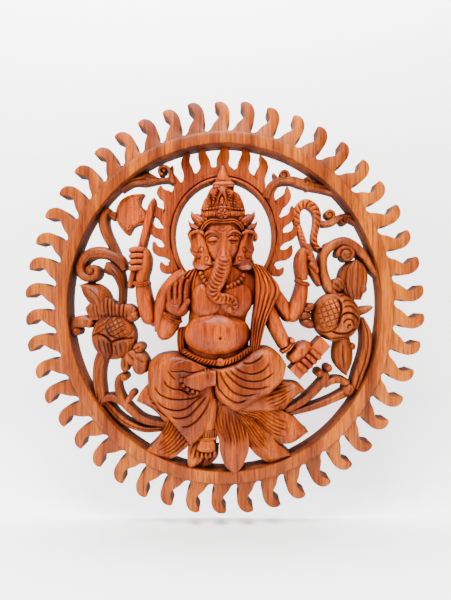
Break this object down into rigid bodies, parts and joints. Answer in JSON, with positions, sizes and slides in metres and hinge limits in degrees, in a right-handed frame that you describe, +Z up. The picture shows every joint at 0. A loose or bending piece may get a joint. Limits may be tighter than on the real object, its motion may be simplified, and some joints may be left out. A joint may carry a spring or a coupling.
{
  "type": "carved wall panel",
  "caption": "Round pierced hardwood wall panel: a seated elephant-headed figure on a lotus with halo and flowers, in a ring of hooked flame rays.",
  "frame": {"origin": "on the flat back, at the top of the ring on the middle of its band, where the panel meets its wall fixing", "axes": "+X to the viewer's right, +Z up the wall, +Y into the wall; the carving faces -Y"},
  "size_m": [0.4002, 0.038, 0.4151],
  "materials": {
    "oiled_hardwood": "oiled reddish-brown hardwood with upright grain, satin, darker in the cuts"
  },
  "bodies": {
    "root": {"carved_panel": "oiled_hardwood"}
  },
  "joints": []
}
